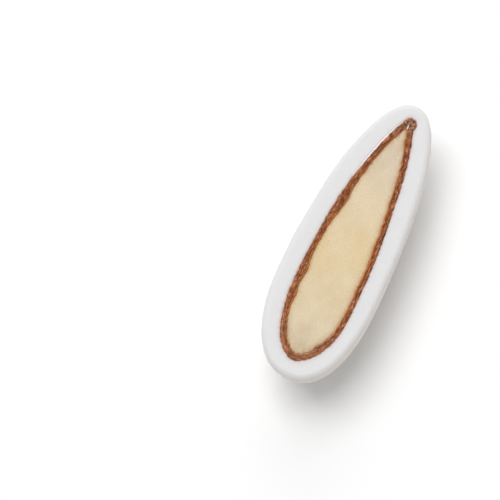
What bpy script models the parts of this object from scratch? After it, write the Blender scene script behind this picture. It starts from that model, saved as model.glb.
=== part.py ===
"""Half of a sugared almond, cut lengthwise across its thickness and lying cut side up.

A thick white coat of hard panned sugar holds half of an almond: the thin brown skin and the cream
kernel inside it. Metres, +Z up and square to the cut face, +Y towards the pointed tip of the nut.
The origin is on the surface that the half lies on, under the middle of its box.
"""

import math

import bmesh
import bpy
from mathutils import Vector, noise

MM = 0.001

# The cut face's height is half of the candy's width, less the small flat that it rests on.
FACE_HEIGHT = 7.05 * MM

# Every outline has this many points, so that each layer's facets nest in the next one's.
SEGMENTS = 120

# The sugar coat's outline is an egg, widest nearer the base. Its two ends lean a little to +X.
COAT_HALF_WIDTH = 4.89 * MM
COAT_WIDEST_Y = -4.52 * MM
COAT_TIP_REACH = 18.58 * MM
COAT_BASE_REACH = 9.54 * MM
COAT_TIP_POWER = 2.17
COAT_BASE_POWER = 2.25
COAT_TIP_LEAN = 0.40 * MM
COAT_BASE_LEAN = 0.20 * MM

# Below its rounded rim the coat draws in to the flat, which is this share of the outline.
COAT_RIM_RADIUS = 0.58 * MM
COAT_DEEPEST_Y = -1.3 * MM
COAT_BELLY_POWER = 2.2
COAT_REST_SHARE = 0.24
COAT_LUMP = 0.06 * MM
COAT_LUMP_SIZE = 5.0 * MM

# The nut's outline round its skin is a drop with its point at the tip.
NUT_CENTRE_X = 0.08 * MM
NUT_HALF_WIDTH = 3.07 * MM
NUT_WIDEST_Y = -4.86 * MM
NUT_TIP_REACH = 17.55 * MM
NUT_BASE_REACH = 7.59 * MM
NUT_TIP_SIDE_POWER = 1.42
NUT_BASE_SIDE_POWER = 1.155
NUT_BASE_END_POWER = 0.73
NUT_DEPTH = 5.05 * MM
NUT_DEEPEST_Y = -1.8 * MM
NUT_BELLY_POWER = 2.1

# Its middle line leans to +X towards the tip and is bent in two places: Y, shift and spread.
NUT_TIP_LEAN = 0.42 * MM
NUT_LEAN_LENGTH = 22.8 * MM
NUT_BENDS = (
    (3.64 * MM, -0.075 * MM, 2.4 * MM),
    (-8.96 * MM, 0.082 * MM, 2.0 * MM),
)

# The skin is gathered into a knob at the tip, a little to one side of the middle line.
KNOB_RADIUS = 0.64 * MM
KNOB_ASIDE = 0.15 * MM

# The kernel inside the skin is widest where the nut is.
KERNEL_HALF_WIDTH = 2.575 * MM
KERNEL_TIP_REACH = 16.56 * MM
KERNEL_BASE_REACH = 6.97 * MM
KERNEL_TIP_SIDE_POWER = 1.58
KERNEL_BASE_SIDE_POWER = 1.20
KERNEL_BASE_END_POWER = 0.75
KERNEL_DEPTH = 4.60 * MM
KERNEL_SINK = 0.05 * MM
KERNEL_RELIEF = 0.04 * MM
KERNEL_RELIEF_SIZE = 2.2 * MM

# Where the skin is thicker on the cut face: side, Y, added thickness and how far it spreads.
SKIN_FOLDS = (
    (-1, 2.94 * MM, 0.33 * MM, 1.9 * MM),
    (-1, -4.31 * MM, 0.28 * MM, 1.1 * MM),
    (-1, -6.76 * MM, 0.20 * MM, 0.9 * MM),
    (1, -0.11 * MM, 0.10 * MM, 0.5 * MM),
    (1, -4.16 * MM, 0.05 * MM, 0.5 * MM),
    (1, -10.35 * MM, 0.21 * MM, 0.38 * MM),
    (1, 10.24 * MM, 0.12 * MM, 0.6 * MM),
)
SKIN_RIPPLE = 0.04 * MM
SKIN_RIPPLE_SIZE = 0.8 * MM
SKIN_RIDGE = 0.09 * MM
SKIN_RIDGE_WAVE = 0.06 * MM
SKIN_RIDGE_SIZE = 0.8 * MM
KNOB_RISE = 0.16 * MM
KNOB_SPREAD = 0.9 * MM

# The layers are bonded in the real candy. Here they stand this far apart.
GAP = 0.04 * MM

RIM_RINGS = 4
COAT_BELLY_RINGS = 10
NUT_BELLY_RINGS = 7
NUT_SMALLEST_SHARE = 0.15
KERNEL_FACE_RINGS = 6


def signed_power(value, power):
    return math.copysign(abs(value) ** power, value)


def level(points, height):
    return [Vector((point.x, point.y, height)) for point in points]


def inward_normals(points):
    """The unit normal at each point of a closed outline, pointing to its inside."""
    normals = []
    for index in range(len(points)):
        along = points[(index + 1) % len(points)] - points[index - 1]
        normals.append(Vector((-along.y, along.x)).normalized())
    return normals


def grown(points, distance):
    """An outline moved outwards by this distance, point by point."""
    return [point - normal * distance for point, normal in zip(points, inward_normals(points))]


def coat_outline(turns):
    points = []
    for turn in turns:
        towards_tip = math.sin(turn) >= 0
        power = 2 / (COAT_TIP_POWER if towards_tip else COAT_BASE_POWER)
        reach = COAT_TIP_REACH if towards_tip else COAT_BASE_REACH
        lean = COAT_TIP_LEAN if towards_tip else COAT_BASE_LEAN
        along = signed_power(math.sin(turn), power)
        x = COAT_HALF_WIDTH * signed_power(math.cos(turn), power) + lean * along**2
        points.append(Vector((x, COAT_WIDEST_Y + reach * along)))
    return points


def middle_x(y):
    """Where the nut's middle line is at this Y."""
    into = max(0.0, y - (NUT_WIDEST_Y + NUT_TIP_REACH - NUT_LEAN_LENGTH)) / NUT_LEAN_LENGTH
    x = NUT_CENTRE_X + NUT_TIP_LEAN * into**3
    for bend_y, shift, spread in NUT_BENDS:
        x += shift * math.exp(-(((y - bend_y) / spread) ** 2))
    return x


def drop(turn, half_width, tip_reach, base_reach, tip_side_power, base_side_power, base_end_power):
    """A nut's half width and Y at this turn: round at the base and drawn in to the tip."""
    cosine = abs(math.cos(turn))
    sine = abs(math.sin(turn))
    if math.sin(turn) >= 0:
        return half_width * cosine**tip_side_power, NUT_WIDEST_Y + tip_reach * sine
    return half_width * cosine**base_side_power, NUT_WIDEST_Y - base_reach * sine**base_end_power


def nut_outline(turns):
    """The outside of the skin: a drop that ends in a knob, which is a circle."""
    knob_y = NUT_WIDEST_Y + NUT_TIP_REACH - KNOB_RADIUS
    points = []
    for turn in turns:
        half, y = drop(
            turn,
            NUT_HALF_WIDTH,
            NUT_TIP_REACH,
            NUT_BASE_REACH,
            NUT_TIP_SIDE_POWER,
            NUT_BASE_SIDE_POWER,
            NUT_BASE_END_POWER,
        )
        side = math.copysign(1, math.cos(turn))
        knob = math.sqrt(max(0.0, KNOB_RADIUS**2 - (y - knob_y) ** 2)) + side * KNOB_ASIDE
        half = knob if y > knob_y else max(half, knob)
        points.append(Vector((middle_x(y) + side * half, y)))
    return points


def kernel_outline(turns):
    """The kernel's outline, pressed in wherever the skin round it is thicker."""
    points = []
    for turn, inward in zip(turns, inward_normals(coat_outline(turns))):
        half, y = drop(
            turn,
            KERNEL_HALF_WIDTH,
            KERNEL_TIP_REACH,
            KERNEL_BASE_REACH,
            KERNEL_TIP_SIDE_POWER,
            KERNEL_BASE_SIDE_POWER,
            KERNEL_BASE_END_POWER,
        )
        side = math.copysign(1, math.cos(turn))
        plain = Vector((middle_x(y) + side * half, y))
        ripple = noise.noise(plain.to_3d() / SKIN_RIPPLE_SIZE) * SKIN_RIPPLE
        pressed = plain + inward * ripple
        for fold_side, fold_y, extra, spread in SKIN_FOLDS:
            if fold_side == side:
                pressed.x -= side * extra * math.exp(-(((y - fold_y) / spread) ** 2))
        points.append(pressed)
    return points


def even_turns():
    """Turns once round, from the +X side by way of the tip.

    They are spaced so that the steps on the coat's and the nut's outlines together are all as long.
    """
    fine = [2 * math.pi * step / 7200 for step in range(7200)]
    coat = coat_outline(fine)
    nut = nut_outline(fine)
    gone = [0.0]
    for index in range(len(fine)):
        beyond = (index + 1) % len(fine)
        step = (coat[beyond] - coat[index]).length + (nut[beyond] - nut[index]).length
        gone.append(gone[-1] + step)
    turns = []
    reached = 0
    for index in range(SEGMENTS):
        wanted = gone[-1] * index / SEGMENTS
        while gone[reached + 1] <= wanted:
            reached += 1
        share = (wanted - gone[reached]) / (gone[reached + 1] - gone[reached])
        turns.append(2 * math.pi * (reached + share) / len(fine))
    return turns


def belly_rings(outline, deepest, top, depth, power, count, smallest):
    """Rings from the outline down towards the deepest point, the last one a small share of the outline."""
    last_turn = math.acos(smallest ** (power / 2))
    rings = []
    for step in range(count):
        turn = last_turn * step / (count - 1)
        share = math.cos(turn) ** (2 / power)
        height = top - depth * math.sin(turn) ** (2 / power)
        rings.append(level([deepest + (point - deepest) * share for point in outline], height))
    return rings


def nut_belly_rings(outline, top, depth):
    deepest = Vector((NUT_CENTRE_X, NUT_DEEPEST_Y))
    return belly_rings(
        outline, deepest, top, depth, NUT_BELLY_POWER, NUT_BELLY_RINGS, NUT_SMALLEST_SHARE
    )


def coat_belly_rings(outline):
    """The coat's underside, with its last ring on the surface that it rests on."""
    top = FACE_HEIGHT - COAT_RIM_RADIUS
    last_turn = math.acos(COAT_REST_SHARE ** (COAT_BELLY_POWER / 2))
    depth = top / math.sin(last_turn) ** (2 / COAT_BELLY_POWER)
    deepest = Vector((0, COAT_DEEPEST_Y))
    return belly_rings(
        outline, deepest, top, depth, COAT_BELLY_POWER, COAT_BELLY_RINGS, COAT_REST_SHARE
    )


def coat_rim_rings(outline):
    """The rounded rim, from just above its widest ring to its inner edge on the cut face."""
    inward = inward_normals(outline)
    rings = []
    for step in range(1, RIM_RINGS + 1):
        turn = math.pi / 2 * step / RIM_RINGS
        inset = COAT_RIM_RADIUS * (1 - math.cos(turn))
        height = FACE_HEIGHT - COAT_RIM_RADIUS * (1 - math.sin(turn))
        rings.append(level([p + n * inset for p, n in zip(outline, inward)], height))
    return rings


def lumpy(ring):
    """A ring of the coat's outside, pushed in and out a little, as panned sugar is."""
    centre = sum(ring, Vector()) / len(ring)
    moved = []
    for point in ring:
        outward = (point - centre).normalized()
        moved.append(point + outward * noise.noise(point / COAT_LUMP_SIZE) * COAT_LUMP)
    return moved


def skin_ridge(outside, inside):
    """The crest of the skin's cut edge, which is crinkled, stands proud and is highest on the knob."""
    knob_y = NUT_WIDEST_Y + NUT_TIP_REACH - KNOB_RADIUS
    knob = Vector((middle_x(knob_y) + KNOB_ASIDE, knob_y))
    crest = []
    for outer, inner in zip(outside, inside):
        middle = (outer + inner) / 2
        from_knob = (middle.to_2d() - knob).length / KNOB_SPREAD
        rise = SKIN_RIDGE + KNOB_RISE * math.exp(-(from_knob**2))
        rise += noise.noise(middle / SKIN_RIDGE_SIZE) * SKIN_RIDGE_WAVE
        crest.append(middle + Vector((0, 0, rise)))
    return crest


def kernel_face_rings(outline):
    """The kernel's cut face, from its edge to near the middle, which the knife left not quite even."""
    centre = Vector((NUT_CENTRE_X, NUT_DEEPEST_Y))
    rings = []
    for step in range(1, KERNEL_FACE_RINGS + 1):
        share = 1 - step / (KERNEL_FACE_RINGS + 0.8)
        ring = []
        for point in outline:
            flat = centre + (point - centre) * share
            relief = noise.noise(flat.to_3d() / KERNEL_RELIEF_SIZE) * KERNEL_RELIEF
            ring.append(Vector((flat.x, flat.y, FACE_HEIGHT - KERNEL_SINK + relief)))
        rings.append(ring)
    return rings


def loft(name, rings, material, collection):
    """A closed solid through the rings, which all have SEGMENTS points, with a cap at either end."""
    mesh = bmesh.new()
    loops = [[mesh.verts.new(point) for point in ring] for ring in rings]
    for loop, following in zip(loops, loops[1:]):
        for index in range(SEGMENTS):
            beside = (index + 1) % SEGMENTS
            mesh.faces.new((loop[index], loop[beside], following[beside], following[index]))
    mesh.faces.new(loops[0])
    mesh.faces.new(loops[-1])
    bmesh.ops.recalc_face_normals(mesh, faces=mesh.faces)
    data = bpy.data.meshes.new(name)
    mesh.to_mesh(data)
    mesh.free()
    data.shade_smooth()
    data.set_sharp_from_angle(angle=math.radians(40))
    data.materials.append(material)
    solid = bpy.data.objects.new(name, data)
    collection.objects.link(solid)
    return solid


def plain_material(name, colour, roughness):
    material = bpy.data.materials.new(name)
    material.use_nodes = True
    shader = material.node_tree.nodes["Principled BSDF"]
    shader.inputs["Base Color"].default_value = (*colour, 1)
    shader.inputs["Roughness"].default_value = roughness
    shader.inputs["Metallic"].default_value = 0
    return material


def make_coat(turns, collection):
    """The sugar coat: its outside from the flat up to the rim, then down the hollow for the nut."""
    outline = coat_outline(turns)
    outside = list(reversed(coat_belly_rings(outline))) + coat_rim_rings(outline)
    hollow = nut_belly_rings(grown(nut_outline(turns), GAP), FACE_HEIGHT, NUT_DEPTH + GAP)
    sugar = plain_material("hard_sugar", (0.86, 0.86, 0.85), 0.6)
    return loft("sugar_coat", [lumpy(ring) for ring in outside] + hollow, sugar, collection)


def make_skin(turns, collection):
    """The brown skin: a thin cup round the kernel, with a crinkled edge on the cut face."""
    outside = nut_belly_rings(nut_outline(turns), FACE_HEIGHT, NUT_DEPTH)
    inside = nut_belly_rings(grown(kernel_outline(turns), GAP), FACE_HEIGHT, KERNEL_DEPTH + GAP)
    crest = skin_ridge(outside[0], inside[0])
    skin = plain_material("almond_skin", (0.21, 0.08, 0.04), 0.7)
    return loft("almond_skin", list(reversed(outside)) + [crest] + inside, skin, collection)


def make_kernel(turns, collection):
    outline = kernel_outline(turns)
    belly = nut_belly_rings(outline, FACE_HEIGHT - KERNEL_SINK, KERNEL_DEPTH - KERNEL_SINK)
    face = kernel_face_rings(outline)
    kernel = plain_material("almond_kernel", (0.74, 0.62, 0.40), 0.5)
    return loft("almond_kernel", list(reversed(belly)) + face, kernel, collection)


def main():
    for old in list(bpy.data.objects):
        bpy.data.objects.remove(old)
    collection = bpy.data.collections.new("sugared_almond_half")
    bpy.context.scene.collection.children.link(collection)
    turns = even_turns()
    make_coat(turns, collection)
    make_skin(turns, collection)
    make_kernel(turns, collection)


main()
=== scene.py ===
"""The looks of half a sugared almond, which lies with its cut face up.

Hard white sugar, a crinkled brown skin and a cream kernel each replace their solid with a finer surface.
The sizes named first are the solids' own, in metres. +Y runs to the pointed tip of the nut.
"""

import math

import bpy
import numpy as np
from mathutils import Matrix, Vector, noise


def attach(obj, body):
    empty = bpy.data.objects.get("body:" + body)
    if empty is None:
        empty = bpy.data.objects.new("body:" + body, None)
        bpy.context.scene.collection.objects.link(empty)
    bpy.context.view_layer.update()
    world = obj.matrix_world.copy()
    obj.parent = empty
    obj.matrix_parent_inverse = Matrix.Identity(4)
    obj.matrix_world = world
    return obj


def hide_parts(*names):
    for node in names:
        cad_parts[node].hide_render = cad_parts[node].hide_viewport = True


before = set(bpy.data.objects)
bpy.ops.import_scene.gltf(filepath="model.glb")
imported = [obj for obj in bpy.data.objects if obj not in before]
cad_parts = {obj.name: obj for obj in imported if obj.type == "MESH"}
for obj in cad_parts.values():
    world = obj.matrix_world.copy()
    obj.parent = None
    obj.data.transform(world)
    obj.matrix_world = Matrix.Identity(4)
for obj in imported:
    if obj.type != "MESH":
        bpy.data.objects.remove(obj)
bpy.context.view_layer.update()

MM = 0.001

# The layers' outlines and depths, as the solids have them.
FACE_HEIGHT = 7.05 * MM
COAT_HALF_WIDTH = 4.89 * MM
COAT_WIDEST_Y = -4.52 * MM
COAT_TIP_REACH = 18.58 * MM
COAT_BASE_REACH = 9.54 * MM
COAT_TIP_POWER = 2.17
COAT_BASE_POWER = 2.25
COAT_TIP_LEAN = 0.40 * MM
COAT_BASE_LEAN = 0.20 * MM
COAT_RIM_RADIUS = 0.58 * MM
COAT_DEEPEST = np.array([0, -1.3 * MM])
COAT_BELLY_POWER = 2.2
COAT_REST_SHARE = 0.24
COAT_LUMP = 0.06 * MM
COAT_LUMP_SIZE = 5.0 * MM
NUT_CENTRE_X = 0.08 * MM
NUT_HALF_WIDTH = 3.07 * MM
NUT_WIDEST_Y = -4.86 * MM
NUT_TIP_REACH = 17.55 * MM
NUT_BASE_REACH = 7.59 * MM
NUT_TIP_SIDE_POWER = 1.42
NUT_BASE_SIDE_POWER = 1.155
NUT_BASE_END_POWER = 0.73
NUT_DEPTH = 5.05 * MM
NUT_DEEPEST = np.array([NUT_CENTRE_X, -1.8 * MM])
NUT_BELLY_POWER = 2.1
NUT_TIP_Y = NUT_WIDEST_Y + NUT_TIP_REACH
NUT_TIP_LEAN = 0.42 * MM
NUT_LEAN_LENGTH = 22.8 * MM
NUT_BENDS = (
    (3.64 * MM, -0.075 * MM, 2.4 * MM),
    (-8.96 * MM, 0.082 * MM, 2.0 * MM),
)
KNOB_RADIUS = 0.64 * MM
KNOB_ASIDE = 0.15 * MM
KNOB_Y = NUT_TIP_Y - KNOB_RADIUS
KERNEL_HALF_WIDTH = 2.575 * MM
KERNEL_TIP_REACH = 16.56 * MM
KERNEL_BASE_REACH = 6.97 * MM
KERNEL_TIP_SIDE_POWER = 1.58
KERNEL_BASE_SIDE_POWER = 1.20
KERNEL_BASE_END_POWER = 0.75
KERNEL_DEPTH = 4.60 * MM
# Each fold's side of the nut, its Y, how much thicker the skin is there, and how far that spreads.
SKIN_FOLDS = (
    (-1, 2.94 * MM, 0.33 * MM, 1.9 * MM),
    (-1, -4.31 * MM, 0.28 * MM, 1.1 * MM),
    (-1, -6.76 * MM, 0.20 * MM, 0.9 * MM),
    (1, -0.11 * MM, 0.10 * MM, 0.5 * MM),
    (1, -4.16 * MM, 0.05 * MM, 0.5 * MM),
    (1, -10.35 * MM, 0.21 * MM, 0.38 * MM),
    (1, 10.24 * MM, 0.12 * MM, 0.6 * MM),
)
SKIN_RIPPLE = 0.04 * MM
SKIN_RIPPLE_SIZE = 0.8 * MM
GAP = 0.04 * MM

# How finely each layer is made: points round it, rings across it, and the share of its outline that a ring
# beside a pole has.
TURN_STEPS = 20000
COAT_POINTS = 840
COAT_BELLY_RINGS = 48
COAT_RIM_RINGS = 12
COAT_FACE_RINGS = 24
COAT_HOLLOW_RINGS = 12
COAT_FLAT_SHARES = (0.02, 0.12)
SKIN_POINTS = 1500
SKIN_BAND_RINGS = 22
SKIN_WALL_RINGS = 8
KERNEL_POINTS = 720
KERNEL_FACE_RINGS = 56
KERNEL_BELLY_RINGS = 12
KERNEL_SMALLEST_SHARE = 0.02
NUT_SMALLEST_SHARE = 0.15
NO_LENGTH = 1e-12

# Where the photograph has the nut's middle, in its own pixels, and how it looks at it.
PHOTO_SIDE = 500
PHOTO_NUT_MIDDLE = (344.9, 250.15)
PHOTO_PIXELS_PER_METRE = 11000
PHOTO_TURN = math.radians(24.59)
NUT_MIDDLE = Vector((0.128 * MM, -1.224 * MM, FACE_HEIGHT))
CAMERA_TILT = math.radians(16)
CAMERA_TILT_SIDE = math.radians(34)
CAMERA_LENS = 200
CAMERA_SENSOR = 36
CAMERA_NEAREST = 1 * MM
CAMERA_FURTHEST = 10

# The coat's surface: soft swellings, its grain, the edge rolled down beside the skin, and one small pit.
COAT_SWELL = 0.020 * MM
COAT_SWELL_SIZE = 1.7 * MM
COAT_GRAIN = 0.008 * MM
COAT_GRAIN_SIZE = 0.20 * MM
COAT_LIP = 0.05 * MM
COAT_LIP_WIDTH = 0.10 * MM
COAT_PIT = 0.05 * MM
COAT_PIT_WIDTH = 0.07 * MM
COAT_PIT_PLACE = np.array([0.0 * MM, -13.1 * MM])
# Where the edge has come loose from the skin at -X, and how far it is lifted there, in depths of the lip.
LOOSE_EDGE_Y = 8.7 * MM
LOOSE_EDGE_REACH = 2.4 * MM
LOOSE_EDGE_RISE = 1.6

# The skin's cut edge: how proud it stands, its lumps, strands and crinkles, and how ragged it is.
SKIN_CROWN = 0.09 * MM
SKIN_CROWN_POWER = 3
SKIN_LUMP = 0.05 * MM
SKIN_LUMP_SIZE = 0.75 * MM
SKIN_LUMP_AT_EDGE = 0.3
SKIN_STRAND = 0.04 * MM
SKIN_STRAND_LENGTH = 0.75 * MM
SKIN_STRAND_WIDTH = 0.13 * MM
SKIN_STRAND_MIDDLE = 0.5
SKIN_CRINKLE = 0.035 * MM
SKIN_CRINKLE_LENGTH = 0.20 * MM
SKIN_CRINKLE_WIDTH = 0.16 * MM
SKIN_CRINKLE_APART = 7 * MM
SKIN_FRAY = 0.065 * MM
SKIN_FRAY_SIZE = 0.28 * MM
BASE_FRAY = 0.055 * MM
BASE_FRAY_SIZE = 0.17 * MM
BASE_FRAY_BELOW = -8.5 * MM
BASE_FRAY_FADE = 0.375 * MM
# Each lobe's place from the knob's middle, and its size.
KNOB_LOBES = ((-0.33 * MM, 0.05 * MM, 0.33 * MM), (0.30 * MM, 0.08 * MM, 0.38 * MM))
KNOB_RISE = 0.13 * MM
KNOB_CRUMPLE = 0.10 * MM
KNOB_CRUMPLE_SIZE = 0.16 * MM
KNOB_SPREAD = 0.75 * MM
CRACK_WIDTH = 0.08 * MM
CRACK_LENGTH = 0.24 * MM
CRACK_FLATTENS = 0.6
CRACK_FROM_TIP = np.array([0.10 * MM, 0.08 * MM])

# The kernel's cut face: how far it has sunk, its drop at the edge, and what the knife left on it.
KERNEL_SINK = 0.03 * MM
KERNEL_EDGE_DIP = 0.07 * MM
KERNEL_EDGE_POWER = 14
KERNEL_SWELL = 0.030 * MM
KERNEL_SWELL_SIZE = 2.2 * MM
KERNEL_GRAIN = 0.008 * MM
KERNEL_GRAIN_SIZE = 0.14 * MM

# The crystals on the sugar's cut face.
CRYSTAL_SEED = 11
CRYSTALS_PER_SQUARE_METRE = 16 / MM**2
CRYSTAL_SMALLEST = 0.012 * MM
CRYSTAL_LARGEST = 0.030 * MM
CRYSTAL_MARK = 0.99

# The strands on the skin's cut edge, with their turns in radians. Their thickness, taper, bend and arch
# are shares of a strand's own width. They lie between two shares of the way from the sugar to the kernel,
# and where the masks of the crack and the knob are below their most.
STRAND_SEED = 23
STRANDS_PER_SQUARE_METRE = 26 / MM**2
STRAND_SHORTEST = 0.35 * MM
STRAND_LONGEST = 0.75 * MM
STRAND_WIDTH = 0.045 * MM
STRAND_THINNEST = 0.6
STRAND_WIDEST = 1.3
STRAND_THICKNESS = 0.45
STRAND_TAPER = 0.85
STRAND_BEND = 0.8
STRAND_ARCH = 0.3
STRAND_YAW = 0.14
STRAND_PITCH = 0.08
STRAND_ROLL = 0.7
STRAND_FIRST_SHARE = 0.16
STRAND_LAST_SHARE = 0.86
STRAND_MOST_CRACK = 0.02
STRAND_MOST_KNOB = 0.6

# The sugar's colours, linear as all of them are here, and where its wall takes a painted warm shade: on the
# +X side and towards the base, away from the key light, and a little darker lower down.
SUGAR_WHITE = (0.741, 0.735, 0.737)
SUGAR_WALL_WARM_SHADE = (0.830, 0.755, 0.690)
SUGAR_LOW_WALL_SHADE = (0.790, 0.735, 0.682)
SUGAR_GREYER = (0.64, 0.63, 0.63)
SUGAR_STAINED = (0.36, 0.145, 0.105)
# Painted shade for a groove beside the sugar's loose edge, and a painted highlight for its lifted lip.
SUGAR_GROOVE_SHADE = (0.42, 0.38, 0.38)
SUGAR_LOOSE_EDGE_HIGHLIGHT = (0.97, 0.95, 0.95)
CRYSTAL_WHITES = ((0.0, (0.74, 0.735, 0.737)), (1.0, (0.84, 0.84, 0.84)))
WALL_FROM = 0.04 * MM
SHADE_GROWS_TO_RIGHT = 0.10 / MM
SHADE_GROWS_TO_TIP = -0.02 / MM
SHADE_IN_MIDDLE = 0.5

# The skin's colours. A ramp's stops are each a place from 0 to 1 and a colour.
SKIN_BROWNS = (
    (0.08, (0.070, 0.013, 0.003)),
    (0.36, (0.235, 0.064, 0.018)),
    (0.66, (0.385, 0.124, 0.040)),
    (0.94, (0.560, 0.280, 0.150)),
)
STRAND_BROWNS = (
    (0.0, (0.060, 0.012, 0.003)),
    (0.30, (0.200, 0.054, 0.015)),
    (0.88, (0.360, 0.118, 0.038)),
    (1.0, (0.620, 0.350, 0.210)),
)
SKIN_DARK = (0.085, 0.017, 0.004)
SKIN_ORANGE = (0.62, 0.185, 0.018)
SKIN_GLINT = (0.640, 0.380, 0.225)
SKIN_AT_BASE = (0.430, 0.225, 0.145)
# The knob: painted shade for its folds, its brown, and painted highlights for the backs of its folds.
KNOB_FOLD_SHADE = (0.035, 0.008, 0.003)
KNOB_BROWN = (0.330, 0.145, 0.080)
KNOB_FLECK_HIGHLIGHT = (0.600, 0.400, 0.310)
# The kernel's cream in the skin's crack, painted brighter than the flesh as a highlight.
CRACK_CREAM_HIGHLIGHT = (0.88, 0.74, 0.56)
SKIN_BASE_FROM = -8.0 * MM
FIBRES_DRAWN_OUT = (0.20, 0.20, 1.0)
FIBRE_SHARE = 0.7
BLOTCH_SHARE = 0.3
REDDER_AT_BASE = 0.4

# The kernel's colours, the ramp running from its base to its tip.
FLESH_CREAMS = (
    (0.02, (0.530, 0.410, 0.255)),
    (0.14, (0.665, 0.545, 0.355)),
    (0.45, (0.705, 0.540, 0.290)),
    (0.72, (0.690, 0.565, 0.375)),
    (0.86, (0.610, 0.500, 0.370)),
    (0.98, (0.545, 0.385, 0.205)),
)
FLESH_RAMP_FROM = -12 * MM
FLESH_RAMP_LENGTH = 24 * MM
FLESH_PALER = (0.730, 0.620, 0.450)
FLESH_SPECK = (0.500, 0.370, 0.200)
FLESH_FROST = (0.860, 0.780, 0.630)
FLESH_TAN = (0.70, 0.52, 0.36)
FROST_BESIDE_SKIN = 0.34
FROST_IN_PATCHES = 0.22

# The fine grain that the layers share: its smaller size's scale, and how much of it there is.
GRAIN_FINER = 2.7
GRAIN_FINER_SHARE = 0.5

# The floor and the light.
FLOOR_SIDE = 4
FLOOR_WHITE = (0.955, 0.955, 0.955)
WORLD_STRENGTH = 0.40
LIGHT_DISTANCE = 1.6
LIGHT_SIDE = 1.1
# Each light's name, its place by the photograph's right, its top and above, and its watts.
LIGHTS = (
    ("key", (-0.20, 0.26, 1.0), 16.9),
    ("from_the_top", (0.1, 1.0, 0.6), 5.5),
    ("fill", (1.0, -0.2, 0.5), 1.5),
)


def signed_power(value, power):
    return np.sign(value) * np.abs(value) ** power


def hump(distance, width):
    """1 at no distance, and falling away on both sides over about this width."""
    return np.exp(-((distance / width) ** 2))


def far_from(points, places):
    return np.linalg.norm(points - places, axis=1)


def coat_outline(turns):
    """An egg, widest nearer the base, whose two ends lean a little to +X."""
    towards_tip = np.sin(turns) >= 0
    power = 2 / np.where(towards_tip, COAT_TIP_POWER, COAT_BASE_POWER)
    reach = np.where(towards_tip, COAT_TIP_REACH, COAT_BASE_REACH)
    along = signed_power(np.sin(turns), power)
    lean = np.where(towards_tip, COAT_TIP_LEAN, COAT_BASE_LEAN) * along**2
    x = COAT_HALF_WIDTH * signed_power(np.cos(turns), power) + lean
    return np.stack([x, COAT_WIDEST_Y + reach * along], 1)


def middle_x(y):
    """Where the nut's middle line is at this Y: it is bent a little, and its tip leans to +X."""
    into = np.maximum(0, y - (NUT_TIP_Y - NUT_LEAN_LENGTH)) / NUT_LEAN_LENGTH
    x = NUT_CENTRE_X + NUT_TIP_LEAN * into**3
    for bend_y, shift, spread in NUT_BENDS:
        x = x + shift * hump(y - bend_y, spread)
    return x


def drop(turns, half_width, tip_reach, base_reach, tip_side_power, base_side_power, base_end_power):
    """A nut's half width and Y at each turn: round at the base and drawn in to the tip."""
    towards_tip = np.sin(turns) >= 0
    cos, sin = np.abs(np.cos(turns)), np.abs(np.sin(turns))
    half = half_width * cos ** np.where(towards_tip, tip_side_power, base_side_power)
    return half, NUT_WIDEST_Y + np.where(towards_tip, tip_reach * sin, -base_reach * sin**base_end_power)


def nut_outline(turns):
    """The outside of the skin: a drop that ends in a knob, which is a circle a little to one side."""
    half, y = drop(
        turns,
        NUT_HALF_WIDTH,
        NUT_TIP_REACH,
        NUT_BASE_REACH,
        NUT_TIP_SIDE_POWER,
        NUT_BASE_SIDE_POWER,
        NUT_BASE_END_POWER,
    )
    side = np.copysign(1, np.cos(turns))
    knob = np.sqrt(np.maximum(0, KNOB_RADIUS**2 - (y - KNOB_Y) ** 2)) + side * KNOB_ASIDE
    half = np.where(y > KNOB_Y, knob, np.maximum(half, knob))
    return np.stack([middle_x(y) + side * half, y], 1)


def even_turns(count):
    """Turns at which the points are evenly spaced, on the nut's and the coat's outlines together."""
    many = np.linspace(0, 2 * math.pi, TURN_STEPS + 1)
    steps = 0
    for outline in (nut_outline, coat_outline):
        points = outline(many)
        steps = steps + far_from(points[1:], points[:-1])
    gone = np.concatenate([[0], np.cumsum(steps)])
    return np.interp(np.arange(count) / count * gone[-1], gone, many)


def outward_normals(points):
    along = np.roll(points, -1, 0) - np.roll(points, 1, 0)
    normals = np.stack([along[:, 1], -along[:, 0]], 1)
    return normals / np.maximum(np.linalg.norm(normals, axis=1, keepdims=True), NO_LENGTH)


def pushed(points, turns, distances):
    """An outline's points moved by these distances, each square to the coat's outline at the same turn."""
    return points + outward_normals(coat_outline(turns)) * distances[:, None]


def rough(points, size):
    """Smooth noise from -1 to 1 at these points, whose bumps are about this size across."""
    return np.array([noise.noise(Vector(point)) for point in points / size])


def at_height(points, height):
    return np.column_stack([points, np.broadcast_to(height, len(points))])


def kernel_outline(turns):
    """The kernel's outline, pressed in wherever the skin round it is thicker."""
    half, y = drop(
        turns,
        KERNEL_HALF_WIDTH,
        KERNEL_TIP_REACH,
        KERNEL_BASE_REACH,
        KERNEL_TIP_SIDE_POWER,
        KERNEL_BASE_SIDE_POWER,
        KERNEL_BASE_END_POWER,
    )
    side = np.copysign(1, np.cos(turns))
    plain = np.stack([middle_x(y) + side * half, y], 1)
    pressed = pushed(plain, turns, -SKIN_RIPPLE * rough(at_height(plain, 0), SKIN_RIPPLE_SIZE))
    for fold_side, fold_y, extra, spread in SKIN_FOLDS:
        pressed[:, 0] -= side * (side == fold_side) * extra * hump(y - fold_y, spread)
    return pressed


def belly(outline, deepest, top, depth, power, count, smallest):
    """Rings from the outline down towards the deepest point, the last one a small share of the outline."""
    last_turn = math.acos(smallest ** (power / 2))
    rings = []
    for turn in np.linspace(0, last_turn, count):
        share = math.cos(turn) ** (2 / power)
        height = top - depth * math.sin(turn) ** (2 / power)
        rings.append(at_height(deepest + (outline - deepest) * share, height))
    return rings


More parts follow.
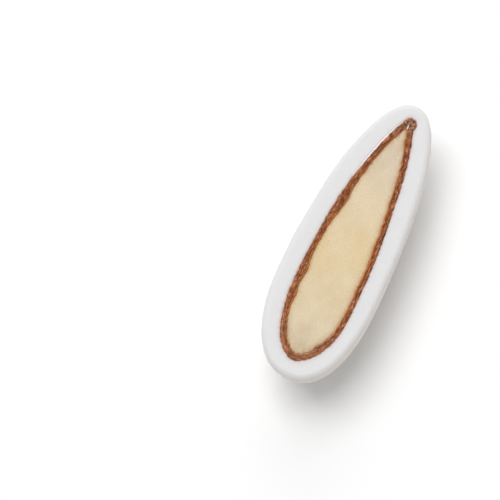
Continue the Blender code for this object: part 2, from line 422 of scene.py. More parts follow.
def nut_belly(outline, top, depth, count):
    return belly(outline, NUT_DEEPEST, top, depth, NUT_BELLY_POWER, count, NUT_SMALLEST_SHARE)


def new_object(name, data):
    made = bpy.data.objects.new(name, data)
    bpy.context.scene.collection.objects.link(made)
    return made


def with_poles(rings):
    """All rings' rows in one run, with the mean of the first ring before them and of the last one after."""
    return np.concatenate([[rings[0].mean(0)], *rings, [rings[-1].mean(0)]])


def loft(name, rings, **values):
    """A closed mesh through rings of points, ending in a pole at either end.

    Each value is a number, or a row of three, for every point of every ring: it becomes an attribute.
    """
    count = len(rings[0])
    points = with_poles(rings)
    here = np.arange(count)
    beside = (here + 1) % count
    faces = [(0, 1 + b, 1 + a) for a, b in zip(here, beside)]
    for ring in range(len(rings) - 1):
        low = 1 + ring * count
        high = low + count
        faces.extend(zip(low + here, low + beside, high + beside, high + here))
    last = 1 + (len(rings) - 1) * count
    faces.extend((len(points) - 1, last + a, last + b) for a, b in zip(here, beside))
    mesh = bpy.data.meshes.new(name)
    mesh.from_pydata(points.tolist(), [], faces)
    for key, value in values.items():
        rows = with_poles(value).astype(np.float32)
        kind, field = ("FLOAT_VECTOR", "vector") if rows.ndim == 2 else ("FLOAT", "value")
        mesh.attributes.new(key, kind, "POINT").data.foreach_set(field, rows.ravel())
    mesh.shade_smooth()
    return new_object(name, mesh)


def frayed(outline, turns, layer):
    """An edge of the skin with small ragged bumps, finer ones at its base. Each layer has its own."""
    points = at_height(outline, layer * MM)
    at_base = 1 / (1 + np.exp((outline[:, 1] - BASE_FRAY_BELOW) / BASE_FRAY_FADE))
    bumps = SKIN_FRAY * rough(points, SKIN_FRAY_SIZE) + BASE_FRAY * at_base * rough(points, BASE_FRAY_SIZE)
    return pushed(outline, turns, bumps)


def skin_outer(turns):
    return frayed(nut_outline(turns), turns, 0)


def skin_inner(turns):
    return frayed(kernel_outline(turns), turns, 1)


def lumpy(ring):
    """A ring of the coat's outside, pushed in and out a little, as panned sugar is."""
    centre = ring.mean(0)
    outward = ring - centre
    outward /= np.linalg.norm(outward, axis=1, keepdims=True)
    return ring + outward * (rough(ring, COAT_LUMP_SIZE) * COAT_LUMP)[:, None]


def coat_outside(outline):
    """Rings from the coat's small flat, up its belly and over its rounded rim to the cut face."""
    top = FACE_HEIGHT - COAT_RIM_RADIUS
    rest_turn = math.acos(COAT_REST_SHARE ** (COAT_BELLY_POWER / 2))
    depth = top / math.sin(rest_turn) ** (2 / COAT_BELLY_POWER)
    rings = [at_height(COAT_DEEPEST + (outline - COAT_DEEPEST) * share, 0) for share in COAT_FLAT_SHARES]
    down = belly(outline, COAT_DEEPEST, top, depth, COAT_BELLY_POWER, COAT_BELLY_RINGS, COAT_REST_SHARE)
    rings.extend(reversed(down))
    inward = -outward_normals(outline)
    for turn in np.linspace(0, math.pi / 2, COAT_RIM_RINGS + 1)[1:]:
        inset = COAT_RIM_RADIUS * (1 - math.cos(turn))
        height = FACE_HEIGHT - COAT_RIM_RADIUS * (1 - math.sin(turn))
        rings.append(at_height(outline + inward * inset, height))
    return [lumpy(ring) for ring in rings]


def make_coat():
    """The sugar coat: its outside, the cut face and the hollow that the nut lies in."""
    turns = even_turns(COAT_POINTS)
    rings = coat_outside(coat_outline(turns))
    face_start = len(rings)
    rim_edge = rings[-1][:, :2]
    inner_edge = skin_outer(turns)
    for share in np.linspace(0, 1, COAT_FACE_RINGS + 1)[1:]:
        rings.append(at_height(rim_edge + (inner_edge - rim_edge) * share, FACE_HEIGHT))
    face_end = len(rings)
    rings.extend(nut_belly(inner_edge, FACE_HEIGHT, NUT_DEPTH + GAP, COAT_HOLLOW_RINGS)[1:])

    every = np.arange(len(rings))
    on_face = (every >= face_start) & (every < face_end)
    to_skin = [far_from(ring[:, :2], inner_edge) for ring in rings]
    along_edge = (inner_edge[:, 1] - LOOSE_EDGE_Y) / LOOSE_EDGE_REACH
    loose = np.exp(-(along_edge**4)) * (np.cos(turns) < 0)
    for ring, distance, on in zip(rings[:face_end], to_skin, on_face):
        relief = rough(ring, COAT_SWELL_SIZE) * COAT_SWELL + rough(ring, COAT_GRAIN_SIZE) * COAT_GRAIN
        if on:
            lip = COAT_LIP * hump(distance, COAT_LIP_WIDTH)
            pit = COAT_PIT * hump(far_from(ring[:, :2], COAT_PIT_PLACE), COAT_PIT_WIDTH)
            ring[:, 2] += relief - lip * (1 - LOOSE_EDGE_RISE * loose) - pit
        elif ring[0, 2] > 0:
            ring[:, :2] += outward_normals(ring[:, :2]) * relief[:, None]
    return loft(
        "sugar_coat_surface",
        rings,
        to_skin=[distance if on else np.ones(len(turns)) for distance, on in zip(to_skin, on_face)],
        cut_face=[np.full(len(turns), float(on)) for on in on_face & (every < face_end - 1)],
        loose=[loose] * len(rings),
    )


def round_trip(outline):
    """Points on a circle as long round as the outline: noise read there runs along it with no seam."""
    steps = far_from(np.roll(outline, -1, 0), outline)
    gone = np.concatenate([[0], np.cumsum(steps)])
    around = gone[:-1] / gone[-1] * 2 * math.pi
    radius = gone[-1] / (2 * math.pi)
    return np.stack([radius * np.cos(around), radius * np.sin(around)], 1)


def crinkle(circle, depth, length, width):
    """Noise that is stretched along the outline: its ridges are this long and this wide."""
    return rough(at_height(circle / length, depth / width), 1)


def make_skin():
    """The skin's cut edge, which is crinkled and stranded along its length, and its walls below."""
    turns = even_turns(SKIN_POINTS)
    outer, inner = skin_outer(turns), skin_inner(turns)
    circle = round_trip(outer)
    wide = far_from(outer, inner)
    knob = np.array([middle_x(KNOB_Y) + KNOB_ASIDE, KNOB_Y])
    kernel_tip_y = NUT_WIDEST_Y + KERNEL_TIP_REACH
    crack_middle = np.array([middle_x(kernel_tip_y), kernel_tip_y]) + CRACK_FROM_TIP
    edge_shares = np.linspace(0, 1, SKIN_BAND_RINGS)
    edge, cracks, knobs = [], [], []
    for share in edge_shares:
        flat = outer + (inner - outer) * share
        depth = wide * share
        crown = 1 - abs(2 * share - 1) ** SKIN_CROWN_POWER
        lumps = SKIN_LUMP * rough(at_height(flat, 0), SKIN_LUMP_SIZE)
        rise = SKIN_CROWN * crown + lumps * (SKIN_LUMP_AT_EDGE + (1 - SKIN_LUMP_AT_EDGE) * crown)
        strand = 1 - 2 * np.abs(crinkle(circle, depth, SKIN_STRAND_LENGTH, SKIN_STRAND_WIDTH))
        rise = rise + SKIN_STRAND * (strand - SKIN_STRAND_MIDDLE)
        apart = depth + SKIN_CRINKLE_APART
        rise = rise + SKIN_CRINKLE * crinkle(circle, apart, SKIN_CRINKLE_LENGTH, SKIN_CRINKLE_WIDTH)
        for lobe_x, lobe_y, lobe_size in KNOB_LOBES:
            rise = rise + KNOB_RISE * hump(far_from(flat - knob, (lobe_x, lobe_y)), lobe_size) * crown
        on_knob = hump(far_from(flat, knob), KNOB_SPREAD)
        rise = rise + KNOB_CRUMPLE * rough(at_height(flat, 0), KNOB_CRUMPLE_SIZE) * on_knob
        from_crack = (flat - crack_middle) / (CRACK_WIDTH, CRACK_LENGTH)
        open_here = np.exp(-((from_crack**2).sum(1) ** 2))
        edge.append(at_height(flat, FACE_HEIGHT + rise * (1 - CRACK_FLATTENS * open_here)))
        cracks.append(open_here)
        knobs.append(on_knob)

    outside = nut_belly(outer, FACE_HEIGHT, NUT_DEPTH, SKIN_WALL_RINGS)[:0:-1]
    inside = nut_belly(inner, FACE_HEIGHT, KERNEL_DEPTH + GAP, SKIN_WALL_RINGS)[1:]
    shares = [0.0] * len(outside) + list(edge_shares) + [1.0] * len(inside)
    depths = [wide * share for share in shares]
    outside_none = [np.zeros(len(turns))] * len(outside)
    inside_none = [np.zeros(len(turns))] * len(inside)
    step = np.roll(outer, -1, 0) - np.roll(outer, 1, 0)
    tangent = at_height(step / np.linalg.norm(step, axis=1, keepdims=True), 0)
    return loft(
        "almond_skin_surface",
        outside + edge + inside,
        across=[np.full(len(turns), share) for share in shares],
        along=[tangent] * len(shares),
        band=[at_height(circle, depth) for depth in depths],
        from_outside=depths,
        to_kernel=[wide - depth for depth in depths],
        crack=outside_none + cracks + inside_none,
        in_knob=outside_none + knobs + inside_none,
    )


def make_kernel():
    """The kernel: its belly, and the cut face that the knife left a little uneven and fibrous."""
    turns = even_turns(KERNEL_POINTS)
    outline = skin_inner(turns)
    top = FACE_HEIGHT - KERNEL_SINK
    rings = nut_belly(outline, top, KERNEL_DEPTH - KERNEL_SINK, KERNEL_BELLY_RINGS)[:0:-1]
    to_skin = [np.zeros(len(turns))] * len(rings)
    for share in np.linspace(1, KERNEL_SMALLEST_SHARE, KERNEL_FACE_RINGS):
        flat = NUT_DEEPEST + (outline - NUT_DEEPEST) * share
        points = at_height(flat, 0)
        height = top - KERNEL_EDGE_DIP * share**KERNEL_EDGE_POWER
        height = height + KERNEL_SWELL * rough(points, KERNEL_SWELL_SIZE)
        height = height + KERNEL_GRAIN * rough(points, KERNEL_GRAIN_SIZE)
        rings.append(at_height(flat, height))
        to_skin.append(np.linalg.norm(flat[:, None] - outline[None], axis=2).min(1))
    return loft("almond_kernel_surface", rings, to_skin=to_skin)


def node_tree(name, kind, inputs, outputs):
    """A node tree, whose inputs and outputs are given as names with the kinds of their sockets."""
    tree = bpy.data.node_groups.new(name, kind)
    for side, sockets in (("INPUT", inputs), ("OUTPUT", outputs)):
        for socket, socket_kind in sockets.items():
            tree.interface.new_socket(socket, in_out=side, socket_type=f"NodeSocket{socket_kind}")
    return tree, tree.nodes.new("NodeGroupInput").outputs, tree.nodes.new("NodeGroupOutput").inputs


def feed(tree, socket, value):
    """Links a socket to the one that is its value, or sets it to a plain value."""
    if isinstance(value, bpy.types.NodeSocket):
        tree.links.new(value, socket)
    else:
        socket.default_value = value


def in_use(sockets, name):
    """The socket of this name that the node's settings leave switched on."""
    return next(socket for socket in sockets if socket.name == name and socket.enabled)


def node(tree, kind, settings=None, **inputs):
    """A node of this kind, whose inputs are fed by name. Underscores stand for spaces."""
    made = tree.nodes.new(kind)
    for key, value in (settings or {}).items():
        setattr(made, key, value)
    for key, value in inputs.items():
        feed(tree, in_use(made.inputs, key.replace("_", " ")), value)
    return made


def calculated(tree, kind, operation, *values):
    """What one math node makes of these values, each a number, a row of three or a socket."""
    made = node(tree, kind, {"operation": operation})
    for socket, value in zip(made.inputs, values):
        feed(tree, socket, value)
    return made.outputs[0]


def math_of(tree, operation, *values):
    """What Math nodes make of these values, from the left where there are more than two."""
    answer = calculated(tree, "ShaderNodeMath", operation, *values[:2])
    for value in values[2:]:
        answer = calculated(tree, "ShaderNodeMath", operation, answer, value)
    return answer


def times(tree, *values):
    return math_of(tree, "MULTIPLY", *values)


def random_value(tree, low, high, seed, offset):
    """A random number for each instance, from low to high."""
    own_seed = math_of(tree, "ADD", seed, offset)
    made = node(tree, "FunctionNodeRandomValue", {"data_type": "FLOAT"}, Min=low, Max=high, Seed=own_seed)
    return in_use(made.outputs, "Value")


def attribute_of(tree, name, kind="FLOAT"):
    made = node(tree, "GeometryNodeInputNamedAttribute", {"data_type": kind}, Name=name)
    return in_use(made.outputs, "Attribute")


def scatter_tree(name, sizes):
    """A Geometry Nodes tree with a mesh in and out, named sizes, a seed and the material of what it makes."""
    inputs = {"Geometry": "Geometry"}
    inputs.update({size: "Float" for size in sizes})
    inputs.update({"Seed": "Int", "Material": "Material"})
    return node_tree(name, "GeometryNodeTree", inputs, {"Geometry": "Geometry"})


def scatter(tree, given, out, chosen, density, shape, rotation, scale, tone):
    """A shape at random on the chosen faces, a tone for each, all realized and given their material."""
    points = node(
        tree,
        "GeometryNodeDistributePointsOnFaces",
        {"distribute_method": "RANDOM"},
        Mesh=given["Geometry"],
        Selection=chosen,
        Density=density,
        Seed=given["Seed"],
    )
    instances = node(
        tree,
        "GeometryNodeInstanceOnPoints",
        Points=points.outputs["Points"],
        Instance=shape,
        Rotation=rotation,
        Scale=scale,
    )
    toned = node(
        tree,
        "GeometryNodeStoreNamedAttribute",
        {"data_type": "FLOAT", "domain": "INSTANCE"},
        Geometry=instances.outputs[0],
        Name="tone",
        Value=tone,
    )
    real = node(tree, "GeometryNodeRealizeInstances", Geometry=toned.outputs[0])
    painted = node(tree, "GeometryNodeSetMaterial", Geometry=real.outputs[0], Material=given["Material"])
    tree.links.new(painted.outputs[0], out["Geometry"])


def crystal_tree():
    """Tiny blunt crystals, half sunk in the faces that have the cut_face attribute at any corner."""
    tree, given, out = scatter_tree("sugar_crystals", ("Crystals per Square Metre", "Smallest", "Largest"))
    shape = node(tree, "GeometryNodeMeshIcoSphere", Radius=1.0, Subdivisions=1)
    turn = random_value(tree, 0.0, math.tau, given["Seed"], 1)
    tip = random_value(tree, 0.0, math.tau, given["Seed"], 2)
    scatter(
        tree,
        given,
        out,
        chosen=math_of(tree, "GREATER_THAN", attribute_of(tree, "cut_face"), CRYSTAL_MARK),
        density=given["Crystals per Square Metre"],
        shape=shape.outputs["Mesh"],
        rotation=node(tree, "ShaderNodeCombineXYZ", X=tip, Y=turn, Z=tip).outputs[0],
        scale=random_value(tree, given["Smallest"], given["Largest"], given["Seed"], 3),
        tone=random_value(tree, 0.0, 1.0, given["Seed"], 4),
    )
    return tree


def strand_shape(tree):
    """A bar one unit long and wide, which tapers, bends to one side and sinks towards both its ends."""
    bar = node(tree, "GeometryNodeMeshCube", Size=(1, 1, 1), Vertices_X=2, Vertices_Y=6, Vertices_Z=2)
    here = node(tree, "GeometryNodeInputPosition").outputs[0]
    place = node(tree, "ShaderNodeSeparateXYZ", Vector=here).outputs
    # 0 at the bar's middle and 1 at its two ends.
    off_middle = times(tree, place["Y"], place["Y"], 4.0)
    taper = math_of(tree, "SUBTRACT", 1.0, times(tree, off_middle, STRAND_TAPER))
    thick = times(tree, place["Z"], taper, STRAND_THICKNESS)
    bent = node(
        tree,
        "ShaderNodeCombineXYZ",
        X=math_of(tree, "ADD", times(tree, place["X"], taper), times(tree, off_middle, STRAND_BEND)),
        Y=place["Y"],
        Z=math_of(tree, "SUBTRACT", thick, times(tree, off_middle, STRAND_ARCH)),
    )
    return node(tree, "GeometryNodeSetPosition", Geometry=bar.outputs["Mesh"], Position=bent.outputs[0])


def strand_tree():
    """Thin curved strands of skin that lie along its cut edge, some of them lifted at one end."""
    sizes = ("Strands per Square Metre", "Shortest", "Longest", "Width", "Yaw", "Pitch")
    tree, given, out = scatter_tree("skin_strands", sizes)
    across = attribute_of(tree, "across")
    inside = math_of(tree, "GREATER_THAN", across, STRAND_FIRST_SHARE)
    before = math_of(tree, "LESS_THAN", across, STRAND_LAST_SHARE)
    off_crack = math_of(tree, "LESS_THAN", attribute_of(tree, "crack"), STRAND_MOST_CRACK)
    off_knob = math_of(tree, "LESS_THAN", attribute_of(tree, "in_knob"), STRAND_MOST_KNOB)
    aligned = node(
        tree,
        "FunctionNodeAlignRotationToVector",
        {"axis": "Y", "pivot_axis": "Z"},
        Vector=attribute_of(tree, "along", "FLOAT_VECTOR"),
    )
    yaw = random_value(tree, times(tree, given["Yaw"], -1.0), given["Yaw"], given["Seed"], 1)
    pitch = random_value(tree, times(tree, given["Pitch"], -1.0), given["Pitch"], given["Seed"], 2)
    roll = random_value(tree, -STRAND_ROLL, STRAND_ROLL, given["Seed"], 3)
    turned = node(
        tree,
        "FunctionNodeRotateRotation",
        {"rotation_space": "LOCAL"},
        Rotation=aligned.outputs[0],
        Rotate_By=node(tree, "ShaderNodeCombineXYZ", X=pitch, Y=roll, Z=yaw).outputs[0],
    )
    share = random_value(tree, STRAND_THINNEST, STRAND_WIDEST, given["Seed"], 4)
    width = times(tree, given["Width"], share)
    length = random_value(tree, given["Shortest"], given["Longest"], given["Seed"], 5)
    scatter(
        tree,
        given,
        out,
        chosen=times(tree, inside, before, off_crack, off_knob),
        density=given["Strands per Square Metre"],
        shape=strand_shape(tree).outputs[0],
        rotation=turned.outputs[0],
        scale=node(tree, "ShaderNodeCombineXYZ", X=width, Y=length, Z=width).outputs[0],
        tone=random_value(tree, 0.0, 1.0, given["Seed"], 6),
    )
    return tree


def made_by(name, surface, tree, material, seed, **sizes):
    """The mesh that a tree makes from a surface, as a piece of its own."""
    piece = new_object(name, surface.data.copy())
    modifier = piece.modifiers.new(name, "NODES")
    modifier.node_group = tree
    values = {key.replace("_", " "): value for key, value in sizes.items()}
    values.update({"Seed": seed, "Material": material})
    for item in tree.interface.items_tree:
        if item.item_type == "SOCKET" and item.in_out == "INPUT" and item.name in values:
            modifier[item.identifier] = values[item.name]
    graph = bpy.context.evaluated_depsgraph_get()
    mesh = bpy.data.meshes.new_from_object(piece.evaluated_get(graph))
    piece.modifiers.clear()
    piece.data = mesh
    mesh.name = name
    return piece


def make_crystals(coat):
    return made_by(
        "sugar_crystals",
        coat,
        crystal_tree(),
        crystal_finish(),
        CRYSTAL_SEED,
        Crystals_per_Square_Metre=CRYSTALS_PER_SQUARE_METRE,
        Smallest=CRYSTAL_SMALLEST,
        Largest=CRYSTAL_LARGEST,
    )


def make_strands(cup):
    return made_by(
        "skin_strands",
        cup,
        strand_tree(),
        strand_finish(),
        STRAND_SEED,
        Strands_per_Square_Metre=STRANDS_PER_SQUARE_METRE,
        Shortest=STRAND_SHORTEST,
        Longest=STRAND_LONGEST,
        Width=STRAND_WIDTH,
        Yaw=STRAND_YAW,
        Pitch=STRAND_PITCH,
    )


def grain_group():
    """Two sizes of fine grain, as a height from 0 to 1."""
    inputs = {"Vector": "Vector", "Size": "Float"}
    tree, given, out = node_tree("fine_grain", "ShaderNodeTree", inputs, {"Height": "Float"})
    scale = math_of(tree, "DIVIDE", 1.0, given["Size"])
    coarse = node(tree, "ShaderNodeTexNoise", Vector=given["Vector"], Scale=scale, Detail=3.0, Roughness=0.6)
    fine_scale = times(tree, scale, GRAIN_FINER)
    fine = node(tree, "ShaderNodeTexNoise", Vector=given["Vector"], Scale=fine_scale, Detail=1.0)
    both = math_of(tree, "ADD", coarse.outputs[0], times(tree, fine.outputs[0], GRAIN_FINER_SHARE))
    tree.links.new(math_of(tree, "DIVIDE", both, 1 + GRAIN_FINER_SHARE), out["Height"])
    return tree


def mottle_group():
    """Soft patches from 0 to 1, drawn out along Y by the Stretch."""
    inputs = {"Vector": "Vector", "Size": "Float", "Stretch": "Float", "Sharpness": "Float"}
    tree, given, out = node_tree("soft_mottle", "ShaderNodeTree", inputs, {"Patches": "Float"})
    flatter = math_of(tree, "DIVIDE", 1.0, given["Stretch"])
    squeeze = node(tree, "ShaderNodeCombineXYZ", X=1.0, Y=flatter, Z=1.0)
    cloud = node(
        tree,
        "ShaderNodeTexNoise",
        Vector=calculated(tree, "ShaderNodeVectorMath", "MULTIPLY", given["Vector"], squeeze.outputs[0]),
        Scale=math_of(tree, "DIVIDE", 1.0, given["Size"]),
        Detail=4.0,
        Roughness=0.55,
    )
    centred = math_of(tree, "SUBTRACT", cloud.outputs[0], 0.5)
    steeper = times(tree, centred, given["Sharpness"])
    clamped = node(tree, "ShaderNodeClamp", Value=math_of(tree, "ADD", steeper, 0.5))
    tree.links.new(clamped.outputs[0], out["Patches"])
    return tree


class Finish:
    """One material: its node tree, its Principled shader and the Object coordinates its patterns read."""

    def __init__(self, name, **settings):
        self.material = bpy.data.materials.new(name)
        self.material.use_nodes = True
        self.tree = self.material.node_tree
        self.shader = self.tree.nodes["Principled BSDF"]
        for key, value in settings.items():
            self.shader.inputs[key.replace("_", " ")].default_value = value
        self.place = self.tree.nodes.new("ShaderNodeTexCoord").outputs["Object"]

    def coordinates(self):
        return node(self.tree, "ShaderNodeSeparateXYZ", Vector=self.place).outputs

    def attribute(self, name, output="Fac"):
        return node(self.tree, "ShaderNodeAttribute", {"attribute_name": name}).outputs[output]

    def group(self, tree, place=None, **inputs):
        made = node(self.tree, "ShaderNodeGroup", {"node_tree": tree}, Vector=place or self.place, **inputs)
        return made.outputs[0]

    def patches(self, mottle, size, sharpness, stretch=1.0, place=None):
        return self.group(mottle, place, Size=size, Stretch=stretch, Sharpness=sharpness)

    def math(self, operation, *values):
        return math_of(self.tree, operation, *values)

    def times(self, *values):
        return times(self.tree, *values)

    def scaled(self, value, by, start):
        """The value times one number, counted from another."""
        return self.math("ADD", self.times(value, by), start)

    def clamped(self, value):
        return node(self.tree, "ShaderNodeClamp", Value=value).outputs[0]

    def reached(self, value, length, start=0.0):
        """0 until the value is at its start, rising evenly to 1 over this length."""
        return self.clamped(self.math("DIVIDE", self.math("SUBTRACT", value, start), length))

    def fading(self, distance, reach):
        """1 at no distance, and dying away over about this reach."""
        return self.math("EXPONENT", self.math("DIVIDE", distance, -reach))

    def line(self, value, middle, spread):
        """A soft line: 1 where the value is at its middle, and fading away on both sides."""
        away = self.math("DIVIDE", self.math("SUBTRACT", value, middle), spread)
        return self.math("EXPONENT", self.times(away, away, -1.0))

    def ramp(self, value, stops):
        """Colours along a value: each stop is a place from 0 to 1 and a linear colour."""
        made = node(self.tree, "ShaderNodeValToRGB", Fac=value)
        elements = made.color_ramp.elements
        while len(elements) < len(stops):
            elements.new(0.5)
        for element, (place, colour) in zip(elements, stops):
            element.position = place
            element.color = (*colour, 1)
        return made.outputs["Color"]

    def mix(self, factor, first, second, blend="MIX"):
        """Two colours mixed, each a linear colour or a socket."""
        settings = {"data_type": "RGBA", "blend_type": blend}
        a, b = [(*colour, 1) if isinstance(colour, tuple) else colour for colour in (first, second)]
        return in_use(node(self.tree, "ShaderNodeMix", settings, Factor=factor, A=a, B=b).outputs, "Result")

    def over(self, base, colour, mask, strength=None):
        """The base with a colour laid over it where the mask is 1, at its full strength or this one."""
        return self.mix(mask if strength is None else self.times(mask, strength), base, colour)

    def paint(self, colour):
        self.tree.links.new(colour, self.shader.inputs["Base Color"])

    def roughen(self, grain, size, depth):
        """A fine grain over the whole surface, this deep."""
        made = node(self.tree, "ShaderNodeBump", Distance=depth, Height=self.group(grain, Size=size))
        self.tree.links.new(made.outputs[0], self.shader.inputs["Normal"])


def sugar_finish(grain, mottle):
    """White hard sugar: a fine matt grain, a wall with painted warm shade on its shaded side, brown drawn
    into it beside the skin, and a painted highlight and groove shade along its loose edge.
    """
    finish = Finish(
        "hard_sugar",
        Roughness=0.62,
        Specular_IOR_Level=0.35,
        Subsurface_Weight=0.25,
        Subsurface_Radius=(1.0, 0.95, 0.9),
        Subsurface_Scale=0.5 * MM,
    )
    place = finish.coordinates()
    # The wall's warm tint is painted shade: it grows towards +X and the base, the side away from the key
    # light, and turns a little darker lower down.
    below_face = finish.math("SUBTRACT", FACE_HEIGHT - WALL_FROM, place["Z"])
    wall = finish.reached(below_face, length=0.45 * MM)
    low_wall = finish.reached(below_face, length=0.6 * MM, start=0.25 * MM)
    sideways = finish.times(place["X"], SHADE_GROWS_TO_RIGHT)
    endways = finish.times(place["Y"], SHADE_GROWS_TO_TIP)
    shaded_side = finish.clamped(finish.math("ADD", sideways, endways, SHADE_IN_MIDDLE))
    white = finish.over(SUGAR_WHITE, SUGAR_WALL_WARM_SHADE, finish.times(wall, shaded_side))
    white = finish.over(white, SUGAR_LOW_WALL_SHADE, finish.times(low_wall, shaded_side))
    patches = finish.patches(mottle, size=0.9 * MM, sharpness=1.4)
    white = finish.over(white, SUGAR_GREYER, patches, strength=0.05)

    to_skin = finish.attribute("to_skin")
    drawn_in = finish.patches(mottle, size=0.45 * MM, sharpness=2.5)
    stain = finish.times(finish.fading(to_skin, reach=0.18 * MM), finish.scaled(drawn_in, by=0.4, start=0.2))
    white = finish.over(white, SUGAR_STAINED, stain)
    # Along the loose edge at -X: a grey line of painted shade for a groove, and a white line of painted
    # highlight on the lifted lip.
    loose = finish.attribute("loose")
    groove_shade = finish.times(finish.line(to_skin, middle=0.24 * MM, spread=0.06 * MM), loose)
    white = finish.over(white, SUGAR_GROOVE_SHADE, groove_shade, strength=0.35)
    edge = finish.times(finish.line(to_skin, middle=0.09 * MM, spread=0.07 * MM), loose)
    finish.paint(finish.over(white, SUGAR_LOOSE_EDGE_HIGHLIGHT, edge))
    finish.roughen(grain, size=0.11 * MM, depth=0.014 * MM)
    return finish.material


def knob_colour_and_shade(finish, mottle):
    """The knob's crumpled skin: brown, with random patches of painted shade, nearly black, for its folds and
    pale flecks of painted highlight on their backs.
    """
    lumps = finish.patches(mottle, size=0.24 * MM, sharpness=7.0)
    flecks = finish.patches(mottle, size=0.13 * MM, sharpness=9.0)
    return finish.over(finish.over(KNOB_FOLD_SHADE, KNOB_BROWN, lumps), KNOB_FLECK_HIGHLIGHT, finish.times(flecks, lumps))


def skin_finish(grain, mottle):
    """Brown skin: fibres along its edge, darker where they part, and an orange line against the kernel."""
    finish = Finish("almond_skin", Roughness=0.65, Specular_IOR_Level=0.25)
    band = finish.attribute("band", "Vector")
    along = calculated(finish.tree, "ShaderNodeVectorMath", "MULTIPLY", band, FIBRES_DRAWN_OUT)
    fibres = finish.patches(mottle, size=0.13 * MM, sharpness=4.5, place=along)
    blotches = finish.patches(mottle, size=0.4 * MM, sharpness=3.0)
    tone = finish.math("ADD", finish.times(fibres, FIBRE_SHARE), finish.times(blotches, BLOTCH_SHARE))
    browns = finish.ramp(tone, SKIN_BROWNS)
    glints = finish.patches(mottle, size=0.08 * MM, sharpness=2.5, place=along)
    glints = finish.clamped(finish.scaled(glints, by=8.0, start=-6.6))
    browns = finish.over(browns, SKIN_GLINT, glints)
    # Over the knob: its brown with painted shade and painted highlights.
    browns = finish.over(browns, knob_colour_and_shade(finish, mottle), finish.attribute("in_knob"), strength=0.9)

    below = finish.math("SUBTRACT", SKIN_BASE_FROM, finish.coordinates()["Y"])
    at_base = finish.reached(below, length=2.0 * MM)
    browns = finish.over(browns, SKIN_AT_BASE, at_base, strength=0.35)
    patchy = finish.patches(mottle, size=0.8 * MM, sharpness=5.0)
    reddened = finish.math("MAXIMUM", patchy, finish.times(at_base, REDDER_AT_BASE))
    outer_line = finish.line(finish.attribute("from_outside"), middle=0.07 * MM, spread=0.07 * MM)
    browns = finish.over(browns, finish.mix(reddened, SKIN_DARK, SKIN_ORANGE), outer_line, strength=0.75)
    to_kernel = finish.attribute("to_kernel")
    dark_line = finish.line(to_kernel, middle=0.19 * MM, spread=0.06 * MM)
    browns = finish.over(browns, SKIN_DARK, dark_line, strength=0.55)
    inner_line = finish.line(to_kernel, middle=0.03 * MM, spread=0.07 * MM)
    clearness = finish.scaled(patchy, by=0.5, start=0.5)
    clearness = finish.times(clearness, finish.scaled(at_base, by=-0.7, start=1.0))
    browns = finish.over(browns, SKIN_ORANGE, finish.times(inner_line, clearness))
    # The crack: the kernel's cream, painted brighter as a highlight.
    finish.paint(finish.over(browns, CRACK_CREAM_HIGHLIGHT, finish.attribute("crack")))
    finish.roughen(grain, size=0.07 * MM, depth=0.014 * MM)
    return finish.material


def strand_finish():
    """Single strands of the skin, from nearly black brown to the tan of a lifted flake."""
    finish = Finish("skin_strand", Roughness=0.55, Specular_IOR_Level=0.25)
    finish.paint(finish.ramp(finish.attribute("tone"), STRAND_BROWNS))
    return finish.material


def kernel_finish(grain, mottle):
    """Cream nut flesh: yellower in the middle, greyer to its ends, and tan where it meets the skin."""
    finish = Finish(
        "almond_kernel",
        Roughness=0.5,
        Specular_IOR_Level=0.3,
        Subsurface_Weight=0.25,
        Subsurface_Radius=(1.0, 0.75, 0.45),
        Subsurface_Scale=0.5 * MM,
    )
    from_base = finish.reached(finish.coordinates()["Y"], length=FLESH_RAMP_LENGTH, start=FLESH_RAMP_FROM)
    flesh = finish.ramp(from_base, FLESH_CREAMS)
    patches = finish.patches(mottle, size=1.5 * MM, sharpness=3.0, stretch=1.6)
    flesh = finish.over(flesh, FLESH_PALER, patches, strength=0.42)
    specks = finish.patches(mottle, size=0.16 * MM, sharpness=4.0, stretch=1.4)
    flesh = finish.over(flesh, FLESH_SPECK, specks, strength=0.13)
    to_skin = finish.attribute("to_skin")
    beside = finish.fading(to_skin, reach=0.7 * MM)
    in_patches = finish.times(patches, FROST_IN_PATCHES)
    spread = finish.math("ADD", finish.times(beside, FROST_BESIDE_SKIN), in_patches)
    frosted = finish.patches(mottle, size=0.09 * MM, sharpness=6.0, stretch=2.6)
    flesh = finish.over(flesh, FLESH_FROST, finish.times(frosted, spread))
    tanned = finish.mix(1.0, flesh, FLESH_TAN, "MULTIPLY")
    finish.paint(finish.over(flesh, tanned, finish.fading(to_skin, reach=0.22 * MM)))
    finish.roughen(grain, size=0.14 * MM, depth=0.022 * MM)
    return finish.material


def crystal_finish():
    finish = Finish("sugar_crystal", Roughness=0.5)
    finish.paint(finish.ramp(finish.attribute("tone"), CRYSTAL_WHITES))
    return finish.material


def plain_floor():
    """A pale floor, far wider than the view."""
    bpy.ops.mesh.primitive_plane_add(size=FLOOR_SIDE, location=(0, 0, 0))
    floor = bpy.context.object
    floor.name = "floor"
    finish = Finish("pale_floor", Base_Color=(*FLOOR_WHITE, 1), Roughness=1.0, Specular_IOR_Level=0.0)
    floor.data.materials.append(finish.material)


def photo_directions():
    """The directions in the object's own frame that are the photograph's right and up."""
    right = Vector((math.cos(PHOTO_TURN), math.sin(PHOTO_TURN), 0))
    up = Vector((-math.sin(PHOTO_TURN), math.cos(PHOTO_TURN), 0))
    return right, up


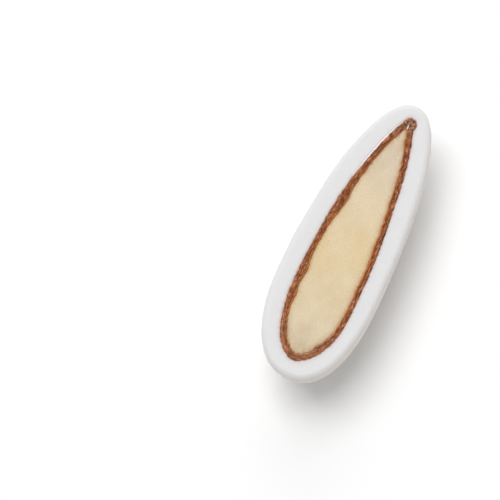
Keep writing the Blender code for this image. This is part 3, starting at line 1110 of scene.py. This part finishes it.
def make_camera():
    """A long lens nearly square to the cut face, aimed so that the nut lies where the photograph has it."""
    to_camera = Vector(
        (
            math.sin(CAMERA_TILT) * math.sin(CAMERA_TILT_SIDE),
            -math.sin(CAMERA_TILT) * math.cos(CAMERA_TILT_SIDE),
            math.cos(CAMERA_TILT),
        )
    )
    pixels_at_one = PHOTO_SIDE * CAMERA_LENS / CAMERA_SENSOR
    off_right = math.atan((PHOTO_NUT_MIDDLE[0] - PHOTO_SIDE / 2) / pixels_at_one)
    off_down = math.atan((PHOTO_NUT_MIDDLE[1] - PHOTO_SIDE / 2) / pixels_at_one)
    away = pixels_at_one / PHOTO_PIXELS_PER_METRE / math.cos(off_right) / math.cos(off_down)
    right = (-to_camera).cross(photo_directions()[1]).normalized()
    up = right.cross(-to_camera)
    turned = Matrix.Rotation(off_right, 3, up) @ Matrix.Rotation(off_down, 3, right)
    axes = Matrix((turned @ right, turned @ up, turned @ to_camera)).transposed()
    data = bpy.data.cameras.new("camera")
    data.lens = CAMERA_LENS
    data.sensor_width = CAMERA_SENSOR
    data.clip_start = CAMERA_NEAREST
    data.clip_end = CAMERA_FURTHEST
    camera = new_object("camera", data)
    camera.matrix_world = Matrix.Translation(NUT_MIDDLE + to_camera * away) @ axes.to_4x4()
    bpy.context.scene.camera = camera


def soft_light(name, place, watts):
    """A square soft light that faces the nut."""
    right, up = photo_directions()
    direction = (right * place[0] + up * place[1] + Vector((0, 0, place[2]))).normalized()
    data = bpy.data.lights.new(name, "AREA")
    data.shape = "SQUARE"
    data.size = LIGHT_SIDE
    data.energy = watts
    light = new_object(name, data)
    light.location = NUT_MIDDLE + direction * LIGHT_DISTANCE
    light.rotation_mode = "QUATERNION"
    light.rotation_quaternion = (-direction).to_track_quat("-Z", "Y")


def make_studio():
    """The lights, a white world that shines less than it shows, and colours left as they are rendered."""
    for name, place, watts in LIGHTS:
        soft_light(name, place, watts)
    world = bpy.data.worlds.new("studio")
    bpy.context.scene.world = world
    world.use_nodes = True
    background = world.node_tree.nodes["Background"]
    background.inputs["Color"].default_value = (1, 1, 1, 1)
    seen_itself = world.node_tree.nodes.new("ShaderNodeLightPath").outputs["Is Camera Ray"]
    strength = math_of(world.node_tree, "MAXIMUM", seen_itself, WORLD_STRENGTH)
    world.node_tree.links.new(strength, background.inputs["Strength"])
    settings = bpy.context.scene.view_settings
    settings.view_transform = "Standard"
    settings.look = "None"
    settings.exposure = 0
    settings.gamma = 1


def as_piece(piece):
    """Rides on the one body."""
    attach(piece, "root")


def as_layer(piece, node_name, material):
    """A layer's finer surface, in its material and in place of its solid."""
    piece.data.materials.append(material)
    as_piece(piece)
    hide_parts(node_name)


def main():
    make_camera()
    make_studio()
    plain_floor()
    grain = grain_group()
    mottle = mottle_group()
    coat, cup, kernel = make_coat(), make_skin(), make_kernel()
    crystals = make_crystals(coat)
    strands = make_strands(cup)
    as_layer(coat, "sugar_coat", sugar_finish(grain, mottle))
    as_layer(cup, "almond_skin", skin_finish(grain, mottle))
    as_layer(kernel, "almond_kernel", kernel_finish(grain, mottle))
    as_piece(crystals)
    as_piece(strands)


main()
